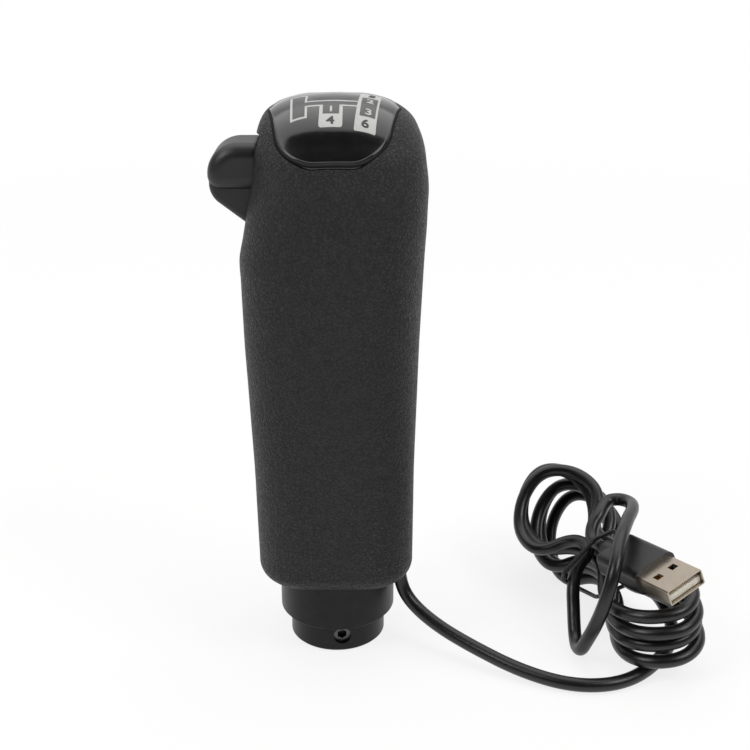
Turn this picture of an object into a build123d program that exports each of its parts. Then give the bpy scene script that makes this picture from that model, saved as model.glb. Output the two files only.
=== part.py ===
from build123d import *
from math import cos, pi, radians, sin, sqrt, tan
import os

# All sizes in millimetres. The origin is the centre of the shaft bore's mouth, on the
# plane the base stands on. The driver sits on the -Y side and the thumb paddle is on -X.

# Base adapter, turned from one bar
lower_collar_radius = 13.5
lower_collar_height = 8.6
upper_collar_radius = 16.3
stem_radius = 11.0
stem_top = 62.0
bore_radius = 7.0
bore_depth = 38.0
collar_chamfer = 0.5

# M5 grub screws that clamp the shaft, spaced evenly round the lower collar
grub_count = 3
grub_first_angle = -82.9
grub_height = 4.9
grub_radius = 2.5
grub_length = 4.5
grub_recess = 1.2
thread_clearance = 0.05
hex_across_flats = 2.5
hex_depth = 2.0

# Grip: each level is its share of the grip's height, then how far the outside lies
# to the left, right, driver's side and far side of the centre line, then the corner
grip_bottom = 23.0
grip_top = 154.5
grip_levels = (
    (0.00, 21.4, 21.5, 21.8, 22.0, 13.0),
    (0.26, 22.0, 21.7, 22.3, 22.6, 13.5),
    (0.53, 23.4, 22.7, 23.0, 23.8, 14.5),
    (0.70, 23.8, 23.7, 24.0, 25.6, 15.5),
    (0.775, 21.9, 24.3, 24.0, 26.2, 15.5),
    (0.845, 20.1, 24.6, 22.6, 26.2, 15.5),
    (0.90, 19.5, 23.6, 19.6, 24.8, 14.5),
    (0.94, 18.9, 21.8, 15.2, 22.0, 13.5),
    (0.965, 17.0, 19.0, 11.4, 18.2, 12.0),
    (0.982, 14.0, 15.9, 7.6, 14.0, 9.6),
    (0.992, 10.3, 12.2, 3.8, 10.6, 6.6),
    (1.00, 4.8, 6.6, -0.6, 7.4, 3.2),
)
section_shares = (
    0, 0.003, 0.008, 0.015, 0.024, 0.035, 0.048, 0.064, 0.085, 0.112, 0.147, 0.192, 0.25,
    0.32, 0.395, 0.465, 0.53, 0.585, 0.63, 0.665, 0.70, 0.735, 0.77, 0.805, 0.84, 0.872,
    0.90, 0.925, 0.946, 0.963, 0.976, 0.986, 0.994, 1.0,
)
side_bulge = 1.1
least_corner = 1.0
bottom_edge_radius = 5.0
skin_thickness = 2.2
skin_clearance = 0.05
core_wall = 2.6
floor_above_stem = 4.0
cavity_share = 0.94

# Pattern cap: width at its widest and at the driver's edge, seen from above
cap_centre = 0.7
cap_half_width = 16.4
cap_front_half = 12.6
cap_back_half = 14.4
cap_front = -19.6
cap_widest = 1.0
cap_back = 9.5
cap_front_corner = 9.5
cap_back_corner = 7.0
cap_thickness = 2.1
cap_below_top = 15.2
cap_gap = 0.6
gasket_recess = 0.35
gasket_clearance = 0.05

# Thumb paddle and range flap: both rock on a pin just inside the head's wall. Each is a
# rounded pad with a narrower web under it.
pivot_below_top = 20.5
splitter_pivot = 12.0
splitter_centre = 0.5
range_pivot = 16.5
range_centre = 0.5
paddle_width = 16.5
paddle_side_gap = 0.5
paddle_tip = 19.4
paddle_root = 4.2
paddle_top = 9.6
pad_bottom = 2.2
pad_corner = 3.6
pad_tip_corner = 8.0
pad_rim = 3.5
web_width = 12.4
web_foot = 7.0
web_bottom = 13.2
web_root_bottom = 7.5
web_tip_bottom = 3.9
web_top = 4.0
web_tip_inset = 0.3
web_rim = 1.4
web_corner_radii = [1.5, 3.2, 6.0, 2.0, 1.5]
paddle_hub_radius = 3.2
paddle_hub_width = 10.0
slot_corner = 1.5
slot_depth = 25.0
arm_length = 8.0
arm_thickness = 4.0
arm_width = 6.0
slot_above = 12.0
slot_below = 12.4
pin_radius = 1.5
pin_running_clearance = 0.05
pin_seat_clearance = 0.01
pin_chamfer = 0.2

# Switch frame inside the head
frame_below_pivot = 24.0
frame_thickness = 3.0
frame_left, frame_right = -16.0, 16.0
frame_front, frame_back = -15.0, 19.0
frame_corner = 4.5
ear_thickness = 2.6
ear_gap = 0.4
ear_half = 2.8
column_radius = 3.0
column_x = 12.5
column_front = -13.6
column_back = 14.5
frame_screw_radius = 1.2
frame_screw_head_radius = 2.3
frame_screw_head = 1.6
frame_screw_length = 8.0
screw_cross = 0.5

# Microswitches
switch_length = 12.8
switch_width = 5.8
switch_height = 6.5
switch_chamfer = 0.4
plunger_radius = 1.0
plunger_clearance = 0.05
plunger_reach = 2.4
plunger_seat = 2.0
plunger_offset = 6.5
plunger_gap = 0.1
plunger_travel = 1.15
plunger_spare = 0.3
plunger_round = 0.4
terminal_pitch = 5.08
terminal_length = 3.0
terminal_width = 1.2
terminal_thickness = 0.5

# Circuit board on two short columns
board_width = 18.0
board_length = 30.0
board_thickness = 1.6
board_corner = 1.5
board_standoff = 8.0
board_centre_y = 1.0
board_column_radius = 2.6
board_column_spread = 12.0
board_screw_head_radius = 2.0
chip_size = 7.0
chip_height = 1.6
chip_x = -3.5
chip_behind = 2.0
chip_chamfer = 0.3
connector_x = 5.6
connector_y = -7.0
wire_connector_y = 8.5
connector_width = 6.0
connector_length = 7.5
connector_height = 5.0

# Screws that clamp the cores to the stem
clamp_below_stem_top = 16.0
clamp_depth = 16.0
clamp_radius = 1.5
clamp_head_radius = 2.8
clamp_head = 2.0
clamp_hex = 2.4
clamp_tip = 7.8

# Cable, lead and grommet
cable_radius = 1.9
cable_x = 17.7
cable_y = -5.8
cable_start = 25.2
channel_clearance = 0.5
grommet_radius = 2.9
grommet_length = 6.0
wire_radius = 0.5
wire_bend = 2.0
wire_drop = 5.5

# Hank: turns lie on each other, drawn in at the waist and rolled towards the far end
waist_x, waist_y = 80.0, 12.0
waist_height = 14.0
far_lift = 9.0
heading_at_waist = 22.0
heading_rate = 0.35
roll_near = 5.0
roll_far = 48.0
near_reach = 43.0
far_reach = 32.0
near_half = 11.0
far_half = 12.5
waist_half = 2.7
turn_pitch = 4.5
far_pitch = 5.0
hank_turns = 4
middle_layer = 2.4
start_back = 18.0
start_aside = 7.4
far_spread = (0, 1.5, -1.5, 2, -2)

# Plug
plug_front_point = (92.8, -31.0, 31.5)
plug_direction = (0.45, -0.87, 0.16)
plug_roll = 18.0
overmould_length = 18.0
overmould_width = 14.0
overmould_thickness = 7.5
overmould_corner = 2.2
overmould_rear_corner = 1.2
relief_length = 5.0
relief_radius = 3.0
relief_wall = 0.5
shell_length = 12.0
shell_width = 12.0
shell_thickness = 4.5
shell_wall = 0.35
shell_corner = 0.5
window_size = 2.2
window_spread = 2.6
window_back = 4.6
tongue_width = 11.0
tongue_thickness = 1.8
tongue_length = 10.6
tongue_gap = 0.15
contact_count = 4
contact_pitch = 2.3
contact_width = 1.1
contact_thickness = 0.2
contact_setback = 1.0

# Tie just before the waist: its corners across and up the stack of turns
tie_radius = 0.65
tie_corner = 2.6
tie_outline = (
    (2.8, -13.7), (5.4, -12.6), (10.8, 0.3), (4.4, 15.6),
    (-1.3, 17.9), (-13.8, 12.7), (-15.2, 9.5), (-7.3, -9.5),
)
tie_back = 3.0
tie_lean = 17.2

grip_height = grip_top - grip_bottom
cap_foot = grip_top - cap_below_top
pivot_height = grip_top - pivot_below_top
frame_level = pivot_height - frame_below_pivot
frame_top = frame_level + frame_thickness
core_floor = stem_top + floor_above_stem
board_level = core_floor + board_standoff
board_top = board_level + board_thickness
clamp_height = stem_top - clamp_below_stem_top


def level_at(share):
    """Distances to the four sides and the corner radius at a share of the height."""
    for low, high in zip(grip_levels, grip_levels[1:]):
        if share <= high[0]:
            part = (share - low[0]) / (high[0] - low[0])
            return [a + (b - a) * part for a, b in zip(low[1:], high[1:])]


def grip_form(inset, last_share=1.0):
    """The grip's outside drawn in by inset on every side, as one smooth loft."""
    with BuildPart() as form:
        for share in section_shares:
            if share > last_share:
                continue
            left, right, driver, far, corner = level_at(share)
            rise = share * (grip_height - 2 * inset)
            edge = bottom_edge_radius - min(inset, bottom_edge_radius - 1)
            tuck = edge - sqrt(edge**2 - max(0, edge - rise) ** 2)
            drawn = inset + tuck
            x0, x1 = drawn - left, right - drawn
            y0, y1 = drawn - driver, far - drawn
            xm, ym = (x0 + x1) / 2, (y0 + y1) / 2
            bow = side_bulge * min(1, (x1 - x0) / grip_width)
            with BuildSketch(Plane.XY.offset(grip_bottom + inset + rise)) as section:
                with BuildLine():
                    ThreePointArc((x0 + bow, y0 + bow), (xm, y0), (x1 - bow, y0 + bow))
                    ThreePointArc((x1 - bow, y0 + bow), (x1, ym), (x1 - bow, y1 - bow))
                    ThreePointArc((x1 - bow, y1 - bow), (xm, y1), (x0 + bow, y1 - bow))
                    ThreePointArc((x0 + bow, y1 - bow), (x0, ym), (x0 + bow, y0 + bow))
                make_face()
                fillet(section.vertices(), max(corner - drawn, least_corner))
        loft()
    return form.part


def cap_outline(grow):
    """Sketch of the pattern cap seen from above, grown by grow."""
    with BuildSketch(Plane.XY.offset(grip_bottom)) as outline:
        with BuildLine():
            Polyline(
                (cap_centre - cap_front_half, cap_front),
                (cap_centre + cap_front_half, cap_front),
                (cap_centre + cap_half_width, cap_widest),
                (cap_centre + cap_back_half, cap_back),
                (cap_centre - cap_back_half, cap_back),
                (cap_centre - cap_half_width, cap_widest),
                close=True,
            )
        make_face()
        corners = outline.vertices().sort_by(Axis.Y)
        fillet(corners[:2], cap_front_corner)
        corners = outline.vertices().sort_by(Axis.Y)
        fillet(corners[-2:], cap_back_corner)
        if grow > 0:
            offset(amount=grow)
    return outline.sketch


grip_width = grip_levels[0][1] + grip_levels[0][2]
outer_form = grip_form(0)
core_form = grip_form(skin_thickness + skin_clearance)
cavity_form = grip_form(skin_thickness + core_wall, cavity_share)
recess_form = grip_form(gasket_recess)
cap_back_form = grip_form(cap_thickness)


# Shaft adapter: two steps outside, stem inside the grip, blind bore from below
with BuildPart() as shaft_adapter:
    with BuildSketch(Plane.XZ):
        with BuildLine():
            Polyline(
                (0, bore_depth),
                (bore_radius, bore_depth),
                (bore_radius, 0),
                (lower_collar_radius - collar_chamfer, 0),
                (lower_collar_radius, collar_chamfer),
                (lower_collar_radius, lower_collar_height),
                (upper_collar_radius - collar_chamfer, lower_collar_height),
                (upper_collar_radius, lower_collar_height + collar_chamfer),
                (upper_collar_radius, cable_start),
                (stem_radius, cable_start),
                (stem_radius, stem_top),
                (0, stem_top),
                close=True,
            )
        make_face()
    revolve(axis=Axis.Z)
    grub_axes = [
        Plane((0, 0, grub_height), x_dir=(0, 0, 1), z_dir=(cos(radians(turn)), sin(radians(turn)), 0))
        for turn in [grub_first_angle + 360 / grub_count * i for i in range(grub_count)]
    ]
    for grub_axis in grub_axes:
        with BuildSketch(grub_axis):
            Circle(grub_radius)
        extrude(amount=lower_collar_radius + 1, mode=Mode.SUBTRACT)

with BuildPart() as grub_screws:
    for grub_axis in grub_axes:
        outer_end = lower_collar_radius - grub_recess
        with BuildSketch(grub_axis.offset(outer_end - grub_length)):
            Circle(grub_radius - thread_clearance)
        extrude(amount=grub_length)
        with BuildSketch(grub_axis.offset(outer_end)):
            RegularPolygon(hex_across_flats / 2, 6, major_radius=False)
        extrude(amount=-hex_depth, mode=Mode.SUBTRACT)


# Cable path inside the grip, from the grommet up to the board's connector
connector_middle = board_top + connector_height / 2
inner_points = [
    (cable_x, cable_y, cable_start),
    (cable_x, cable_y, 38),
    (14.8, -6.6, 53),
    (14.6, -7.0, connector_middle),
    (connector_x + connector_width / 2, connector_y, connector_middle),
]
inner_radii = [20, 20, 5]


def swept_tube(points, radii, radius):
    """Round tube along straight runs joined by tangent arcs."""
    with BuildPart() as tube:
        with BuildLine() as run:
            FilletPolyline(*points, radius=radii)
        with BuildSketch(Plane(points[0], z_dir=Vector(*points[1]) - Vector(*points[0]))):
            Circle(radius)
        sweep(path=run.wires()[0])
    return tube.part


# Grip cores: two moulded halves round the stem, hollow above the floor
splitter_plane = Plane((-splitter_pivot, splitter_centre, pivot_height), x_dir=(-1, 0, 0), z_dir=(0, 1, 0))
range_plane = Plane((range_centre, range_pivot, pivot_height), x_dir=(0, 1, 0), z_dir=(1, 0, 0))
slot_half = paddle_width / 2 + paddle_side_gap
slot_middle = pivot_height + (slot_above - slot_below) / 2
column_spots = [
    (side * column_x, row) for side in (-1, 1) for row in (column_front, column_back)
]
board_spots = [(0, board_centre_y + side * board_column_spread) for side in (-1, 1)]


# Openings in the left wall and the far wall for the two paddles
with BuildPart() as paddle_slots:
    with BuildSketch(Plane.YZ.offset(-splitter_pivot)):
        with Locations((splitter_centre, slot_middle)):
            RectangleRounded(2 * slot_half, slot_above + slot_below, slot_corner)
    extrude(amount=-slot_depth)
    with BuildSketch(Plane.XZ.offset(-range_pivot)):
        with Locations((range_centre, slot_middle)):
            RectangleRounded(2 * slot_half, slot_above + slot_below, slot_corner)
    extrude(amount=-slot_depth)

with BuildPart() as cavity:
    add(cavity_form)
    split(bisect_by=Plane.XY.offset(core_floor), keep=Keep.TOP)

with BuildPart() as core:
    add(core_form)
    add(cavity.part, mode=Mode.SUBTRACT)
    with BuildSketch(Plane.XY.offset(core_floor)):
        with Locations(*column_spots):
            Circle(column_radius)
    extrude(amount=frame_level - core_floor)
    with BuildSketch(Plane.XY.offset(core_floor)):
        with Locations(*board_spots):
            Circle(board_column_radius)
    extrude(amount=board_level - core_floor)
    with BuildSketch(Plane.XY.offset(grip_bottom)):
        Circle(stem_radius + skin_clearance)
    extrude(amount=stem_top + skin_clearance - grip_bottom, mode=Mode.SUBTRACT)
    add(swept_tube(inner_points, inner_radii, cable_radius + channel_clearance), mode=Mode.SUBTRACT)
    with BuildSketch(Plane.XY.offset(grip_bottom)):
        with Locations((cable_x, cable_y)):
            Circle(grommet_radius + skin_clearance)
    extrude(amount=cable_start + grommet_length - grip_bottom, mode=Mode.SUBTRACT)
    add(paddle_slots.part, mode=Mode.SUBTRACT)
    for spots, seat in ((column_spots, frame_top), (board_spots, board_top)):
        with BuildSketch(Plane.XY.offset(seat)):
            with Locations(*spots):
                Circle(frame_screw_radius + thread_clearance)
        extrude(amount=-frame_screw_length - thread_clearance, mode=Mode.SUBTRACT)

with BuildPart() as core_left:
    add(core.part)
    split(bisect_by=Plane.YZ, keep=Keep.BOTTOM)

with BuildPart() as core_right:
    add(core.part)
    split(bisect_by=Plane.YZ, keep=Keep.TOP)


# Skin: soft cover over the cores, open at the collar, the cap and the paddles
with BuildPart() as grip_skin:
    add(outer_form)
    add(grip_form(skin_thickness), mode=Mode.SUBTRACT)
    with BuildSketch(Plane.XY.offset(grip_bottom - 1)):
        Circle(upper_collar_radius + cap_gap)
    extrude(amount=skin_thickness + 2, mode=Mode.SUBTRACT)
    with BuildSketch(Plane.XY.offset(grip_bottom - 1)):
        with Locations((cable_x, cable_y)):
            Circle(grommet_radius + skin_clearance)
    extrude(amount=cable_start + grommet_length - grip_bottom + 1, mode=Mode.SUBTRACT)
    with BuildSketch(Plane.XY.offset(cap_foot - skin_clearance)):
        add(cap_outline(cap_gap))
    extrude(amount=grip_height, mode=Mode.SUBTRACT)
    add(paddle_slots.part, mode=Mode.SUBTRACT)
    add(swept_tube(inner_points, inner_radii, cable_radius + channel_clearance / 2), mode=Mode.SUBTRACT)

with BuildPart() as pattern_cap:
    with BuildSketch(Plane.XY.offset(cap_foot)):
        add(cap_outline(0))
    extrude(amount=grip_height)
    add(outer_form, mode=Mode.INTERSECT)
    add(cap_back_form, mode=Mode.SUBTRACT)

with BuildPart() as cap_gasket:
    with BuildSketch(Plane.XY.offset(cap_foot)):
        add(cap_outline(cap_gap - gasket_clearance))
        add(cap_outline(gasket_clearance), mode=Mode.SUBTRACT)
    extrude(amount=grip_height)
    add(recess_form, mode=Mode.INTERSECT)
    add(cap_back_form, mode=Mode.SUBTRACT)


# Paddles: each outline is given out from the pivot and up, and extruded along the pin
def rounded_block(plane, width, corners, radii, rim):
    with BuildPart() as block:
        with BuildSketch(plane.offset(-width / 2)):
            with BuildLine():
                FilletPolyline(*corners, radius=radii, close=True)
            make_face()
        extrude(amount=width)
        ends = block.edges().filter_by(
            lambda e: abs(plane.to_local_coords(e.center()).Z) > width / 2 - 0.01
        )
        fillet(ends, rim)
    return block.part


def paddle(plane):
    """Pad and web with their hub and the short arm that works the switch."""
    pad_corners = [
        (paddle_root, -pad_bottom),
        (paddle_tip, -pad_bottom),
        (paddle_tip, paddle_top),
        (paddle_root, paddle_top),
    ]
    web_tip = paddle_tip - web_tip_inset
    web_corners = [
        (paddle_root, -web_root_bottom),
        (web_foot, -web_bottom),
        (web_tip, -web_tip_bottom),
        (web_tip, web_top),
        (paddle_root, web_top),
    ]
    with BuildPart() as blade:
        add(rounded_block(
            plane, paddle_width, pad_corners, [pad_corner, pad_corner, pad_tip_corner, pad_corner], pad_rim
        ))
        add(rounded_block(plane, web_width, web_corners, web_corner_radii, web_rim))
        with BuildSketch(plane.offset(-paddle_hub_width / 2)):
            Circle(paddle_hub_radius)
            with Locations((paddle_root / 2 + 0.5, 0)):
                Rectangle(paddle_root + 1, 2 * paddle_hub_radius)
        extrude(amount=paddle_hub_width)
        with BuildSketch(plane.offset(-arm_width / 2)):
            with Locations((-arm_length / 2, 0)):
                Rectangle(arm_length, arm_thickness)
        extrude(amount=arm_width)
        with BuildSketch(plane.offset(-paddle_width / 2)):
            Circle(pin_radius + pin_running_clearance)
        extrude(amount=paddle_width, mode=Mode.SUBTRACT)
    return blade.part


with BuildPart() as splitter_paddle:
    add(paddle(splitter_plane))

with BuildPart() as range_flap:
    add(paddle(range_plane))

pin_half = paddle_hub_width / 2 + ear_gap + ear_thickness


def hinge_pin(plane):
    with BuildPart() as pin:
        with BuildSketch(plane.offset(-pin_half)):
            Circle(pin_radius)
        extrude(amount=2 * pin_half)
        chamfer(pin.edges().filter_by(GeomType.CIRCLE), pin_chamfer)
    return pin.part


with BuildPart() as splitter_pin:
    add(hinge_pin(splitter_plane))

with BuildPart() as range_pin:
    add(hinge_pin(range_plane))


# Microswitches stand under the arms, plunger upwards
arm_under = pivot_height - arm_thickness / 2
plunger_top = arm_under - plunger_gap
switch_top = plunger_top - plunger_reach
switch_floor = switch_top - switch_height
splitter_switch_spot = Plane(
    (-splitter_pivot + plunger_offset, splitter_centre, switch_floor), x_dir=(0, 1, 0), z_dir=(0, 0, 1)
)
range_switch_spot = Plane(
    (range_centre, range_pivot - plunger_offset, switch_floor), x_dir=(1, 0, 0), z_dir=(0, 0, 1)
)


def micro_switch(spot):
    with BuildPart() as body:
        with BuildSketch(spot):
            Rectangle(switch_length, switch_width)
        extrude(amount=switch_height)
        chamfer(body.edges().filter_by(Axis.Z), switch_chamfer)
        with BuildSketch(spot.offset(switch_height)):
            Circle(plunger_radius + plunger_clearance)
        extrude(amount=-plunger_seat - plunger_travel - plunger_spare, mode=Mode.SUBTRACT)
        with BuildSketch(spot):
            with GridLocations(terminal_pitch, 0, 2, 1):
                Rectangle(terminal_width, terminal_thickness)
        extrude(amount=-terminal_length)
    return body.part


def plunger(spot):
    with BuildPart() as stud:
        with BuildSketch(spot.offset(switch_height - plunger_seat)):
            Circle(plunger_radius)
        extrude(amount=plunger_seat + plunger_reach)
        fillet(stud.edges().group_by(Axis.Z)[-1], plunger_round)
    return stud.part


with BuildPart() as splitter_switch:
    add(micro_switch(splitter_switch_spot))

with BuildPart() as range_switch:
    add(micro_switch(range_switch_spot))

with BuildPart() as splitter_plunger:
    add(plunger(splitter_switch_spot))

with BuildPart() as range_plunger:
    add(plunger(range_switch_spot))


# Switch frame: plate on the core's columns, two pairs of ears and two switch seats
with BuildPart() as switch_frame:
    with BuildSketch(Plane.XY.offset(frame_level)):
        with Locations(((frame_left + frame_right) / 2, (frame_front + frame_back) / 2)):
            RectangleRounded(frame_right - frame_left, frame_back - frame_front, frame_corner)
    extrude(amount=frame_thickness)
    for plane in (splitter_plane, range_plane):
        for side in (-1, 1):
            near = side * (paddle_hub_width / 2 + ear_gap + ear_thickness / 2) - ear_thickness / 2
            with BuildSketch(plane.offset(near)):
                with BuildLine():
                    foot = frame_top - pivot_height
                    Line((-ear_half, 0), (-ear_half, foot))
                    Line((-ear_half, foot), (ear_half, foot))
                    Line((ear_half, foot), (ear_half, 0))
                    RadiusArc((ear_half, 0), (-ear_half, 0), -ear_half)
                make_face()
            extrude(amount=ear_thickness)
        with BuildSketch(plane.offset(-pin_half)):
            Circle(pin_radius + pin_seat_clearance)
        extrude(amount=2 * pin_half, mode=Mode.SUBTRACT)
    for spot in (splitter_switch_spot, range_switch_spot):
        with BuildSketch(spot.offset(frame_top - switch_floor)):
            Rectangle(switch_length, switch_width)
        extrude(amount=switch_floor - frame_top)
        with BuildSketch(spot):
            with GridLocations(terminal_pitch, 0, 2, 1):
                Circle(terminal_width)
        extrude(amount=frame_level - switch_floor, mode=Mode.SUBTRACT)
    with BuildSketch(Plane.XY.offset(frame_level)):
        with Locations(*column_spots):
            Circle(frame_screw_radius + thread_clearance)
    extrude(amount=frame_thickness, mode=Mode.SUBTRACT)


def pan_screws(spots, seat, shank_radius, head_radius, shank_length):
    """Pan head screws driven down into columns."""
    with BuildPart() as screws:
        with BuildSketch(Plane.XY.offset(seat)):
            with Locations(*spots):
                Circle(shank_radius)
        extrude(amount=-shank_length)
        with BuildSketch(Plane.XY.offset(seat)):
            with Locations(*spots):
                Circle(head_radius)
        extrude(amount=frame_screw_head)
        with BuildSketch(Plane.XY.offset(seat + frame_screw_head)):
            with Locations(*spots):
                Rectangle(head_radius, screw_cross)
                Rectangle(screw_cross, head_radius)
        extrude(amount=-frame_screw_head / 2, mode=Mode.SUBTRACT)
    return screws.part


with BuildPart() as frame_screws:
    add(pan_screws(column_spots, frame_top, frame_screw_radius, frame_screw_head_radius, frame_screw_length))

with BuildPart() as board_screws:
    add(pan_screws(board_spots, board_top, frame_screw_radius, board_screw_head_radius, frame_screw_length))


# Board, its controller and the two connectors
with BuildPart() as usb_board:
    with BuildSketch(Plane.XY.offset(board_level)):
        with Locations((0, board_centre_y)):
            RectangleRounded(board_width, board_length, board_corner)
        with Locations(*board_spots):
            Circle(frame_screw_radius + thread_clearance, mode=Mode.SUBTRACT)
    extrude(amount=board_thickness)

with BuildPart() as controller_chip:
    with BuildSketch(Plane.XY.offset(board_top)):
        with Locations((chip_x, board_centre_y + chip_behind)):
            Rectangle(chip_size, chip_size)
    extrude(amount=chip_height)
    chamfer(controller_chip.edges().group_by(Axis.Z)[-1], chip_chamfer)

with BuildPart() as board_connectors:
    with BuildSketch(Plane.XY.offset(board_top)):
        with Locations((connector_x, connector_y), (connector_x, wire_connector_y)):
            Rectangle(connector_width, connector_length)
    extrude(amount=connector_height)

with BuildPart() as inner_cable:
    add(swept_tube(inner_points, inner_radii, cable_radius))

with BuildPart() as cable_grommet:
    with BuildSketch(Plane.XY.offset(cable_start)):
        with Locations((cable_x, cable_y)):
            Circle(grommet_radius)
            Circle(cable_radius + skin_clearance, mode=Mode.SUBTRACT)
    extrude(amount=grommet_length)

# One wire from each switch terminal to the second connector: which terminal, how far
# under the frame it leans over, and where it enters the connector
wire_routes = (
    (splitter_switch_spot, -1, 6.0, (1.0, -1.4)),
    (splitter_switch_spot, 1, 6.0, (1.0, 1.4)),
    (range_switch_spot, -1, 21.0, (-1.0, 1.4)),
    (range_switch_spot, 1, 14.0, (-1.0, -1.4)),
)
with BuildPart() as switch_wires:
    for spot, side, lean, (dx, dy) in wire_routes:
        lean_height = frame_level - lean
        end = spot.offset(-terminal_length).from_local_coords((side * terminal_pitch / 2, 0, 0))
        entry_x, entry_y = connector_x + dx, wire_connector_y + dy
        points = [
            (end.X, end.Y, end.Z),
            (end.X, end.Y, lean_height),
            (entry_x, entry_y, lean_height - wire_drop),
            (entry_x, entry_y, board_top + connector_height),
        ]
        add(swept_tube(points, [wire_bend, wire_bend], wire_radius))


# Screws that clamp the cores to the stem, hidden under the skin
with BuildPart() as clamp_screws:
    for side in (-1, 1):
        out = Plane((0, 0, clamp_height), x_dir=(0, 0, 1), z_dir=(0, side, 0))
        with BuildSketch(out.offset(clamp_tip)):
            Circle(clamp_radius)
        extrude(amount=clamp_depth - clamp_tip)
        with BuildSketch(out.offset(clamp_depth)):
            Circle(clamp_head_radius)
            RegularPolygon(clamp_hex / 2, 6, major_radius=False, mode=Mode.SUBTRACT)
        extrude(amount=clamp_head)

for piece in (core_left, core_right, shaft_adapter):
    with piece:
        for side in (-1, 1):
            out = Plane((0, 0, clamp_height), x_dir=(0, 0, 1), z_dir=(0, side, 0))
            with BuildSketch(out.offset(clamp_tip)):
                Circle(clamp_radius + thread_clearance)
            extrude(amount=clamp_depth - clamp_tip, mode=Mode.SUBTRACT)
            with BuildSketch(out.offset(clamp_depth)):
                Circle(clamp_head_radius + thread_clearance)
            extrude(amount=clamp_depth, mode=Mode.SUBTRACT)


# Hank of cable. A place in it is given along the hank (a), across a turn (b) and up
# the stack of turns (c); the stack rolls over towards its far end.
def hank_point(a, b, c):
    heading_0 = radians(heading_at_waist)
    rate = radians(heading_rate)
    heading = heading_0 + rate * a
    x = waist_x + (cos(heading) - cos(heading_0)) / rate
    y = waist_y + (sin(heading) - sin(heading_0)) / rate
    share = (a + near_reach) / (near_reach + far_reach)
    roll = radians(roll_near + (roll_far - roll_near) * share)
    side = b * cos(roll) - c * sin(roll)
    rise = b * sin(roll) + c * cos(roll)
    lift = waist_height + far_lift * max(0, a / far_reach) ** 2
    return Vector(x + side * cos(heading), y + side * sin(heading), lift + rise)


def hank_node(place, run):
    """Point and direction of the cable where it passes place heading along run."""
    step = 0.05
    before = hank_point(*[p - step * r for p, r in zip(place, run)])
    after = hank_point(*[p + step * r for p, r in zip(place, run)])
    return hank_point(*place), (after - before).normalized()


def turn_nodes(turn):
    """One turn from the waist round the far end, back and round the near end."""
    uneven = far_spread[turn]
    near = near_reach - (1.5 if turn % 2 else 0)
    far = far_reach + uneven
    half = far_half - 0.4 * uneven
    layer = turn - middle_layer
    climb = 0.03
    return [
        hank_node((0, waist_half, (layer + 0.25) * turn_pitch), (1, 0, climb)),
        hank_node((far - half, half, (layer + 0.38) * far_pitch), (1, 0, climb)),
        hank_node((far, 0, (layer + 0.5) * far_pitch), (0, -1, climb)),
        hank_node((far - half, -half, (layer + 0.62) * far_pitch), (-1, 0, climb)),
        hank_node((0, -waist_half, (layer + 0.75) * turn_pitch), (-1, 0, climb)),
        hank_node((near_half - near, -near_half, (layer + 0.88) * turn_pitch), (-1, 0, climb)),
        hank_node((-near, 0, (layer + 1) * turn_pitch), (0, 1, climb)),
        hank_node((near_half - near, near_half, (layer + 1.12) * turn_pitch), (1, 0, climb)),
    ]


plug_axis = Vector(*plug_direction).normalized()
plug_rear = Vector(*plug_front_point) - plug_axis * (overmould_length + shell_length)
level_side = plug_axis.cross(Vector(0, 0, 1)).normalized()
plug_side = level_side.rotate(Axis((0, 0, 0), plug_axis), plug_roll)
plug_plane = Plane(plug_rear, x_dir=plug_side * -1, z_dir=plug_axis)
relief_end = plug_rear - plug_axis * relief_length
straight = 2 * cable_radius

# After its last turn the cable drops to the floor before the hank, climbs past the plug,
# makes a small flat loop above the waist and runs into the plug. A direction of None means
# along the line between the neighbours.
last_fold = [
    ((68.7, -0.6, 15.6), None),
    ((68.0, -8.0, 7.8), None),
    ((67.9, -14.5, 3.6), (0, -1, -0.2)),
    ((69.0, -20.4, 6.4), (0.3, -0.3, 1)),
    ((71.4, -22.6, 14.5), None),
    ((73.6, -23.6, 23.4), None),
    ((75.8, -20.8, 31.0), None),
    ((78.6, -12.4, 35.3), None),
    ((82.2, -2.5, 35.8), None),
    ((85.6, 7.0, 34.8), None),
    ((86.2, 13.0, 33.6), (-0.15, 1, -0.2)),
    ((82.0, 17.4, 32.4), (-1, 0, -0.15)),
    ((77.9, 13.4, 30.8), (-0.1, -1, -0.35)),
    ((75.1, 8.2, 26.8), (0.1, -0.95, -0.28)),
]

hank_start, start_run = hank_node(
    (-start_back, start_aside, (0.12 - middle_layer) * turn_pitch), (1, 0.12, 0.06)
)
hank_nodes = [(hank_start + start_run * straight, start_run)]
for turn in range(hank_turns + 1):
    nodes = turn_nodes(turn)
    if turn == hank_turns:
        nodes = nodes[:5]
    hank_nodes += nodes
plug_entry = relief_end - plug_axis * straight
fold_points = [hank_nodes[-1][0]] + [Vector(*point) for point, _ in last_fold] + [plug_entry]
for i, (point, run) in enumerate(last_fold):
    if run is None:
        direction = fold_points[i + 2] - fold_points[i]
    else:
        direction = Vector(*run)
    hank_nodes.append((Vector(*point), direction.normalized()))
hank_nodes.append((plug_entry, plug_axis))


def biarc_joint(p0, t0, p1, t1):
    """Where two tangent arcs from (p0, t0) to (p1, t1) meet, and their shared direction."""
    chord = p1 - p0
    both = t0 + t1
    k = 2 * (1 - t0.dot(t1))
    if k < 1e-6:
        reach = chord.dot(chord) / (4 * chord.dot(t1))
    else:
        reach = (-chord.dot(both) + sqrt(chord.dot(both) ** 2 + k * chord.dot(chord))) / k
    q0 = p0 + t0 * reach
    q1 = p1 - t1 * reach
    return (q0 + q1) / 2, (q1 - q0).normalized()


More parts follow.
